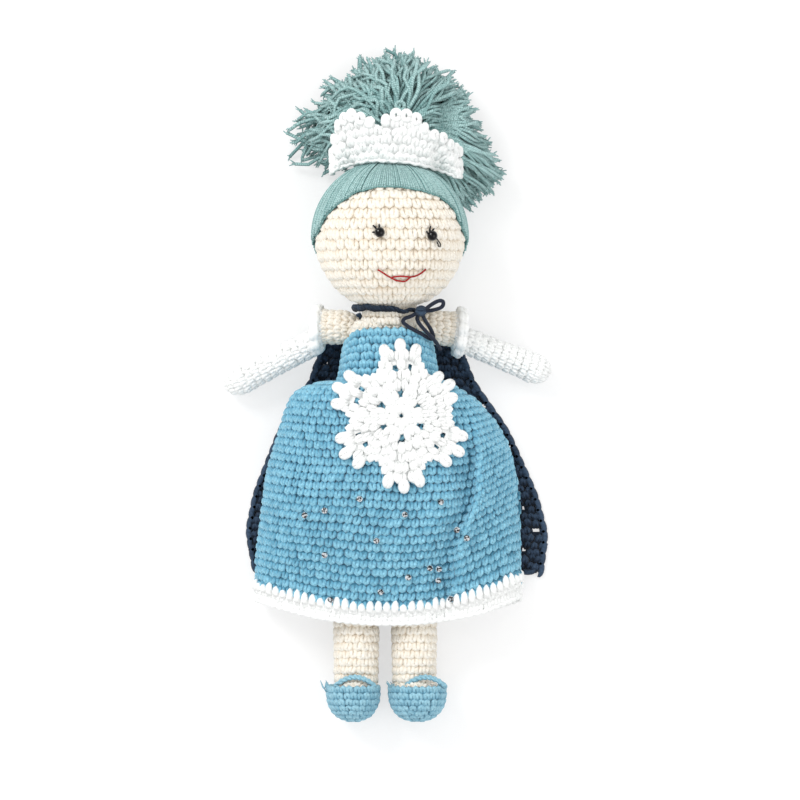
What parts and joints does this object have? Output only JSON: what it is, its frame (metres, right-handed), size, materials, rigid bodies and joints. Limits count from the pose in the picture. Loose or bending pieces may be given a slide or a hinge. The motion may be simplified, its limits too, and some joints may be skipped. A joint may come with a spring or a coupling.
{
  "type": "crochet doll",
  "caption": "Stuffed crocheted doll with a cut-yarn topknot, tiara, long gloves, a full skirt with a snowflake, and a cape tied at the neck; head, arms, legs and cape move.",
  "frame": {"origin": "under the middle of the whole doll, on the surface that it lies on", "axes": "+Y towards the head, +X to the doll's own left, +Z the way its face looks"},
  "size_m": [0.1614, 0.3374, 0.0793],
  "materials": {
    "cream_yarn": "matte cotton yarn",
    "white_yarn": "matte cotton yarn",
    "blue_yarn": "soft mercerised cotton yarn",
    "shoe_yarn": "soft cotton yarn",
    "navy_yarn": "matte cotton yarn",
    "teal_yarn": "plied cotton yarn",
    "red_thread": "embroidery thread",
    "black_thread": "sewing thread",
    "black_bead": "polished bead",
    "crystal": "cut and foil-backed",
    "filling": "loose fibre filling"
  },
  "bodies": {
    "torso": {"torso_skin": "cream_yarn", "body_stuffing": "filling", "dress_bodice": "blue_yarn", "dress_skirt": "blue_yarn", "skirt_hem": "white_yarn", "snowflake": "white_yarn", "rhinestone_01": "crystal", "rhinestone_02": "crystal", "rhinestone_03": "crystal", "rhinestone_04": "crystal", "rhinestone_05": "crystal", "rhinestone_06": "crystal", "rhinestone_07": "crystal", "rhinestone_08": "crystal", "rhinestone_09": "crystal", "rhinestone_10": "crystal", "rhinestone_11": "crystal", "rhinestone_12": "crystal", "rhinestone_13": "crystal", "rhinestone_14": "crystal", "rhinestone_15": "crystal", "rhinestone_16": "crystal", "cape_collar": "navy_yarn", "tie_knot": "navy_yarn", "tie_loop_short": "navy_yarn", "tie_loop_long": "navy_yarn", "tie_tail": "navy_yarn"},
    "neck": {"neck": "cream_yarn"},
    "head": {"head_skin": "cream_yarn", "head_stuffing": "filling", "hair_cap": "teal_yarn", "tiara": "white_yarn", "hair_tuft": "teal_yarn", "hair_tie": "teal_yarn", "eye_right": "black_bead", "eyelashes_right": "black_thread", "eye_left": "black_bead", "eyelashes_left": "black_thread", "mouth_thread": "red_thread"},
    "hips": {"hips": "cream_yarn"},
    "cape": {"cape": "navy_yarn"},
    "upper_arm_right": {"upper_arm_right": "cream_yarn", "glove_cuff_right": "white_yarn"},
    "forearm_right": {"glove_right": "white_yarn", "glove_stuffing_right": "filling"},
    "leg_right": {"leg_right": "cream_yarn", "leg_stuffing_right": "filling", "shoe_right": "shoe_yarn", "shoe_strap_right": "shoe_yarn"},
    "upper_arm_left": {"upper_arm_left": "cream_yarn", "glove_cuff_left": "white_yarn"},
    "forearm_left": {"glove_left": "white_yarn", "glove_stuffing_left": "filling"},
    "leg_left": {"leg_left": "cream_yarn", "leg_stuffing_left": "filling", "shoe_left": "shoe_yarn", "shoe_strap_left": "shoe_yarn"}
  },
  "joints": [
    {"name": "head_nod", "type": "hinge", "parent": "torso", "child": "neck", "pos_m": [-0.00051, 0.03817, 0.033], "axis": [1, 0, 0], "range_deg": [-12, 8]},
    {"name": "head_turn", "type": "hinge", "parent": "neck", "child": "head", "pos_m": [-0.00051, 0.04317, 0.036], "axis": [0, 1, 0], "range_deg": [-60, 60]},
    {"name": "shoulder_right", "type": "hinge", "parent": "torso", "child": "upper_arm_right", "pos_m": [-0.02301, 0.02917, 0.021], "axis": [0, 0, -1], "range_deg": [-12, 50]},
    {"name": "shoulder_left", "type": "hinge", "parent": "torso", "child": "upper_arm_left", "pos_m": [0.02099, 0.02917, 0.021], "axis": [0, 0, 1], "range_deg": [-12, 50]},
    {"name": "elbow_right", "type": "hinge", "parent": "upper_arm_right", "child": "forearm_right", "pos_m": [-0.04009, 0.02059, 0.01715], "axis": [-0.4488, 0.8937, 0], "range_deg": [0, 55]},
    {"name": "elbow_left", "type": "hinge", "parent": "upper_arm_left", "child": "forearm_left", "pos_m": [0.03873, 0.02204, 0.01714], "axis": [-0.3727, -0.9279, 0], "range_deg": [0, 55]},
    {"name": "sit", "type": "hinge", "parent": "torso", "child": "hips", "pos_m": [-0.00251, -0.05783, 0.0255], "axis": [-1, 0, 0], "range_deg": [0, 75], "deforming": ["dress_skirt", "skirt_hem", "rhinestone_01", "rhinestone_02", "rhinestone_03", "rhinestone_04", "rhinestone_05", "rhinestone_06", "rhinestone_07", "rhinestone_08", "rhinestone_09", "rhinestone_10", "rhinestone_11", "rhinestone_12", "rhinestone_13", "rhinestone_14", "rhinestone_15", "rhinestone_16"]},
    {"name": "leg_spread_right", "type": "hinge", "parent": "hips", "child": "leg_right", "pos_m": [-0.01711, -0.06383, 0.0205], "axis": [0, 0, -1], "range_deg": [0, 10]},
    {"name": "leg_spread_left", "type": "hinge", "parent": "hips", "child": "leg_left", "pos_m": [0.01189, -0.06383, 0.0205], "axis": [0, 0, 1], "range_deg": [0, 10]},
    {"name": "cape_swing", "type": "hinge", "parent": "torso", "child": "cape", "pos_m": [-0.00051, 0.03667, 0.0126], "axis": [1, 0, 0], "range_deg": [0, 60]}
  ]
}
